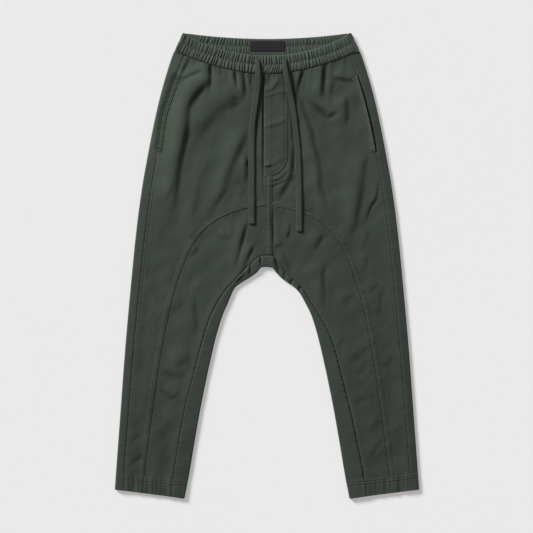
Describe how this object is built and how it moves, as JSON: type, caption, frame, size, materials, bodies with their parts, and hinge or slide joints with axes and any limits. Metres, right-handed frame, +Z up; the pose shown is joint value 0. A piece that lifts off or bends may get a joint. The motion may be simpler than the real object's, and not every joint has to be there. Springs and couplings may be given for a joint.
{
  "type": "harem trousers laid flat",
  "caption": "Low-crotch harem trousers laid flat: gathered elastic waist, flat drawcord ends, mock fly, side pockets, curved saddle panels, wrapped back legs and turned-up hems.",
  "frame": {"origin": "on the surface the garment lies on, under the middle of its outline", "axes": "+Y up to the waistband, +X to the wearer's left, +Z up from the surface through the front"},
  "size_m": [0.654, 1.0004, 0.0111],
  "materials": {
    "twill": "washed cotton twill, dark olive",
    "tape": "folded self-fabric tape, edges stitched",
    "label": "plain woven satin"
  },
  "bodies": {
    "root": {"waistband_back": "twill", "waistband_front": "twill", "back_left": "twill", "front_left": "twill", "saddle_left": "twill", "pocket_edge_left": "twill", "drawcord_left": "tape", "back_right": "twill", "front_right": "twill", "saddle_right": "twill", "pocket_edge_right": "twill", "drawcord_right": "tape", "crotch_gusset": "twill", "centre_strip": "twill", "fly_placket": "twill", "waist_label": "label"}
  },
  "joints": []
}
